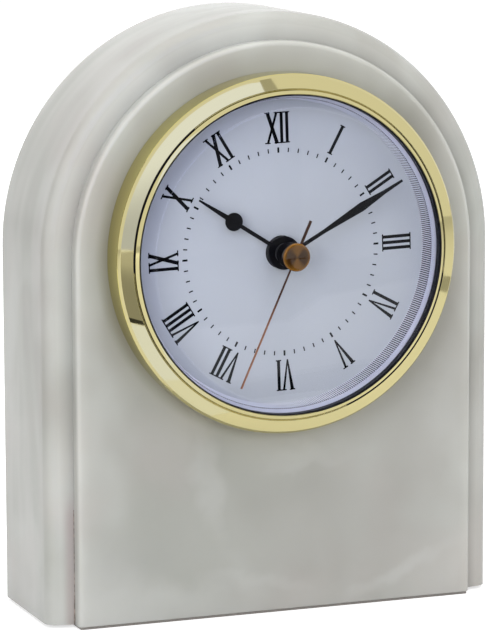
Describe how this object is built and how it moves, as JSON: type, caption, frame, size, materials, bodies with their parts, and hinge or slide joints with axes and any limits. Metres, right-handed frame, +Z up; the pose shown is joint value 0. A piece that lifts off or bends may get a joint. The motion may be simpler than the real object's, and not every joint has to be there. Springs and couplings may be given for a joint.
{
  "type": "beehive shelf clock",
  "caption": "Stone shelf clock: stepped round-arch case with a pull-out quartz insert, brass bezel, domed glass, Roman dial, three hands, gear train and battery.",
  "frame": {"origin": "centre of the outline on the table, under the felt", "axes": "+Z up, the dial looks along -Y, +X to the viewer's right"},
  "size_m": [0.12, 0.0546, 0.152],
  "materials": {
    "stone": "honed grey-white marble with soft cloudy veins",
    "felt": "dark green felt",
    "bezel_brass": "polished and lacquered",
    "glass": "clear, domed",
    "gasket": "soft clear-white",
    "white_plastic": "satin white",
    "dial_paint": "white paint, black print",
    "grip_rubber": "soft, milky",
    "movement_plastic": "black, fine grain",
    "screw_steel": "zinc plated",
    "bush_brass": "turned",
    "plate_plastic": "natural",
    "board": "green resist",
    "chip_resin": "black resin",
    "crystal_can": "bright can",
    "bobbin": "natural",
    "copper_wire": "enamelled copper wire",
    "stator_iron": "rolled sheet",
    "contact_nickel": "nickel plated spring steel",
    "battery_jacket": "plain sleeve",
    "magnet": "sintered",
    "gear_nylon": "natural nylon",
    "arbor_steel": "ground pins",
    "hand_black": "black lacquer",
    "hand_copper": "copper-gold wash",
    "cap_brass": "turned and lacquered",
    "knob_plastic": "black"
  },
  "bodies": {
    "case": {"case_back_slab": "stone", "case_front_slab": "stone", "base_felt": "felt"},
    "insert": {"bezel": "bezel_brass", "lens": "glass", "lens_gasket": "gasket", "sight_ring": "white_plastic", "dial_plate": "dial_paint", "insert_housing": "white_plastic", "grip_band": "grip_rubber", "movement_front_case": "movement_plastic", "movement_back_cover": "movement_plastic", "movement_screws": "screw_steel", "centre_bush": "bush_brass", "train_plate": "plate_plastic", "circuit_board": "board", "circuit_chip": "chip_resin", "quartz_crystal": "crystal_can", "coil_bobbin": "bobbin", "coil_winding": "copper_wire", "stator": "stator_iron", "contact_positive": "contact_nickel", "contact_negative": "contact_nickel"},
    "battery": {"battery_can": "battery_jacket", "battery_terminal": "contact_nickel"},
    "rotor": {"rotor_magnet": "magnet", "rotor_pinion": "gear_nylon", "rotor_arbor": "arbor_steel"},
    "intermediate": {"intermediate_wheel": "gear_nylon", "intermediate_arbor": "arbor_steel"},
    "seconds": {"seconds_wheel": "gear_nylon", "seconds_pinion": "gear_nylon", "seconds_arbor": "arbor_steel", "second_hand": "hand_copper", "second_hand_cap": "cap_brass"},
    "third": {"third_wheel": "gear_nylon", "third_arbor": "arbor_steel"},
    "minutes": {"centre_wheel": "gear_nylon", "clutch_spring": "arbor_steel", "cannon_pinion": "gear_nylon", "minute_tube": "movement_plastic", "minute_hand": "hand_black"},
    "minute_work": {"minute_work_wheel": "gear_nylon"},
    "hours": {"hour_wheel": "gear_nylon", "hour_tube": "movement_plastic", "hour_hand": "hand_black"},
    "setting": {"setting_pinion": "gear_nylon", "setting_stem": "gear_nylon", "setting_knob": "knob_plastic"}
  },
  "joints": [
    {"name": "insert_pull", "type": "slide", "parent": "case", "child": "insert", "axis": [0, -1, 0], "range_m": [0, 0.03]},
    {"name": "battery_slide", "type": "slide", "parent": "insert", "child": "battery", "axis": [0, 1, 0], "range_m": [0, 0.025]},
    {"name": "minute_hand_turn", "type": "hinge", "parent": "insert", "child": "minutes", "pos_m": [0, -0.0117, 0.0926], "axis": [0, 1, 0], "continuous": true},
    {"name": "hour_hand_turn", "type": "hinge", "parent": "insert", "child": "hours", "pos_m": [0, -0.0117, 0.0926], "axis": [0, 1, 0], "continuous": true},
    {"name": "second_hand_turn", "type": "hinge", "parent": "insert", "child": "seconds", "pos_m": [0, -0.0117, 0.0926], "axis": [0, 1, 0], "continuous": true},
    {"name": "minute_work_turn", "type": "hinge", "parent": "insert", "child": "minute_work", "pos_m": [0.0108, -0.0117, 0.0926], "axis": [0, 1, 0], "continuous": true},
    {"name": "setting_knob_turn", "type": "hinge", "parent": "insert", "child": "setting", "pos_m": [0.01939, -0.0117, 0.10119], "axis": [0, 1, 0], "continuous": true},
    {"name": "third_wheel_turn", "type": "hinge", "parent": "insert", "child": "third", "pos_m": [-0.01016, -0.0117, 0.09349], "axis": [0, 1, 0], "continuous": true},
    {"name": "intermediate_wheel_turn", "type": "hinge", "parent": "insert", "child": "intermediate", "pos_m": [0.00152, -0.0117, 0.10122], "axis": [0, 1, 0], "continuous": true},
    {"name": "rotor_turn", "type": "hinge", "parent": "insert", "child": "rotor", "pos_m": [0.00152, -0.0117, 0.10782], "axis": [0, 1, 0], "continuous": true}
  ],
  "couplings": [
    {"joint": "minute_work_turn", "follows": "minute_hand_turn", "ratio": -0.33333},
    {"joint": "hour_hand_turn", "follows": "minute_hand_turn", "ratio": 0.083333},
    {"joint": "setting_knob_turn", "follows": "minute_hand_turn", "ratio": 0.66667},
    {"joint": "third_wheel_turn", "follows": "minute_hand_turn", "ratio": -8},
    {"joint": "second_hand_turn", "follows": "minute_hand_turn", "ratio": 60},
    {"joint": "intermediate_wheel_turn", "follows": "minute_hand_turn", "ratio": -360},
    {"joint": "rotor_turn", "follows": "minute_hand_turn", "ratio": 1800}
  ]
}
